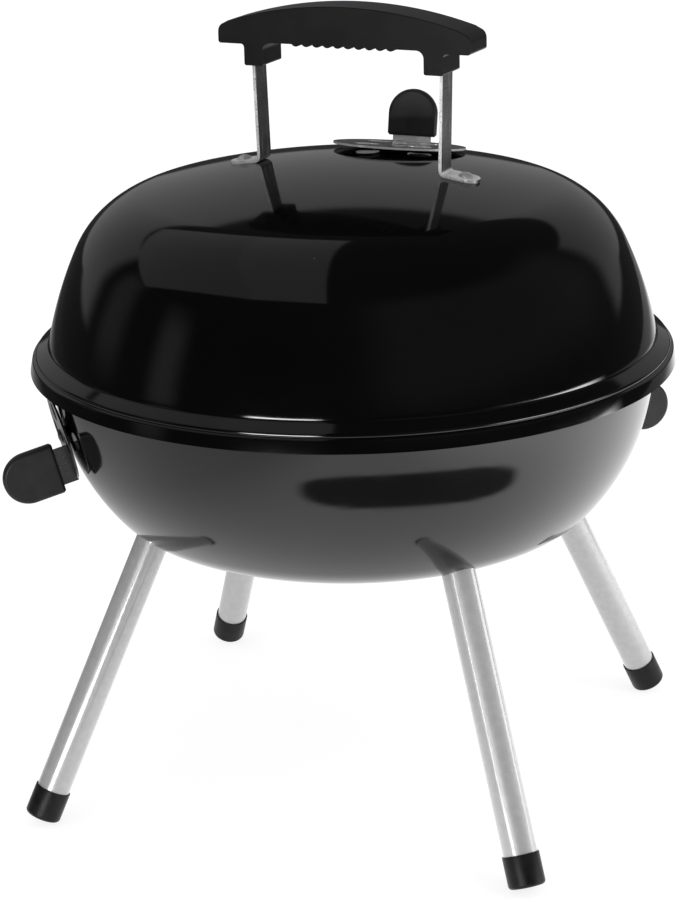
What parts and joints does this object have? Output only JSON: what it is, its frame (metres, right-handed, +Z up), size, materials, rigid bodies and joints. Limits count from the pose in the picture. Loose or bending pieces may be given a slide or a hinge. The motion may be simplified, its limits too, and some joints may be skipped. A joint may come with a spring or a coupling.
{
  "type": "kettle charcoal grill",
  "caption": "Portable kettle charcoal grill: round enamelled bowl on splayed tube legs, domed lid with arched handle, turning air dampers and wire grates inside.",
  "frame": {"origin": "on the kettle's centre line at the floor", "axes": "+Z up along the kettle's centre line, front faces -Y, +X to the right, legs on the diagonals"},
  "size_m": [0.3699, 0.37, 0.4525],
  "materials": {
    "bowl_enamel": "glossy black enamel",
    "lid_enamel": "glossy black enamel",
    "leg_steel": "satin silver steel tube",
    "foot_rubber": "matt black rubber",
    "zinc": "zinc-plated steel",
    "black_steel": "black painted steel",
    "grip_plastic": "matt black plastic",
    "cap_plastic": "matt black plastic",
    "strap_zinc": "scratched zinc-plated steel",
    "chrome": "bright plated steel",
    "grate_chrome": "plated steel wire",
    "coal_grate_steel": "plain steel wire"
  },
  "bodies": {
    "kettle_base": {"bowl": "bowl_enamel", "grate_brackets": "bowl_enamel", "leg_front_left": "leg_steel", "leg_front_right": "leg_steel", "leg_back_left": "leg_steel", "leg_back_right": "leg_steel", "foot_front_left": "foot_rubber", "foot_front_right": "foot_rubber", "foot_back_left": "foot_rubber", "foot_back_right": "foot_rubber", "leg_plugs": "zinc", "leg_bolts": "zinc", "leg_washers": "zinc", "left_vent_rivet": "black_steel", "right_vent_rivet": "black_steel"},
    "lid": {"lid": "lid_enamel", "handle_grip": "grip_plastic", "handle_strap_left": "strap_zinc", "handle_strap_right": "strap_zinc", "handle_screws": "zinc", "handle_nuts": "zinc", "handle_washers": "zinc", "lid_vent_rivet": "chrome"},
    "lid_damper": {"lid_damper": "chrome", "lid_damper_cap": "cap_plastic"},
    "left_damper": {"left_damper": "black_steel", "left_damper_cap": "cap_plastic"},
    "right_damper": {"right_damper": "black_steel", "right_damper_cap": "cap_plastic"},
    "cooking_grate": {"cooking_grate": "grate_chrome"},
    "charcoal_grate": {"charcoal_grate": "coal_grate_steel"}
  },
  "joints": [
    {"name": "lid_lift", "type": "slide", "parent": "kettle_base", "child": "lid", "axis": [0, 0, 1], "range_m": [0, 0.25]},
    {"name": "lid_damper_turn", "type": "hinge", "parent": "lid", "child": "lid_damper", "pos_m": [0.00949, 0.06349, 0.35992], "axis": [0.0236, 0.1577, 0.9872], "range_deg": [0, 45]},
    {"name": "left_damper_turn", "type": "hinge", "parent": "kettle_base", "child": "left_damper", "pos_m": [-0.13775, -0.09826, 0.221], "axis": [-0.7893, -0.563, -0.245], "range_deg": [0, 45]},
    {"name": "right_damper_turn", "type": "hinge", "parent": "kettle_base", "child": "right_damper", "pos_m": [0.12962, 0.10685, 0.2165], "axis": [0.7405, 0.6104, -0.2811], "range_deg": [0, 45]},
    {"name": "cooking_grate_lift", "type": "slide", "parent": "kettle_base", "child": "cooking_grate", "axis": [0, 0, 1], "range_m": [0, 0.004]},
    {"name": "charcoal_grate_lift", "type": "slide", "parent": "kettle_base", "child": "charcoal_grate", "axis": [0, 0, 1], "range_m": [0, 0.05]}
  ]
}
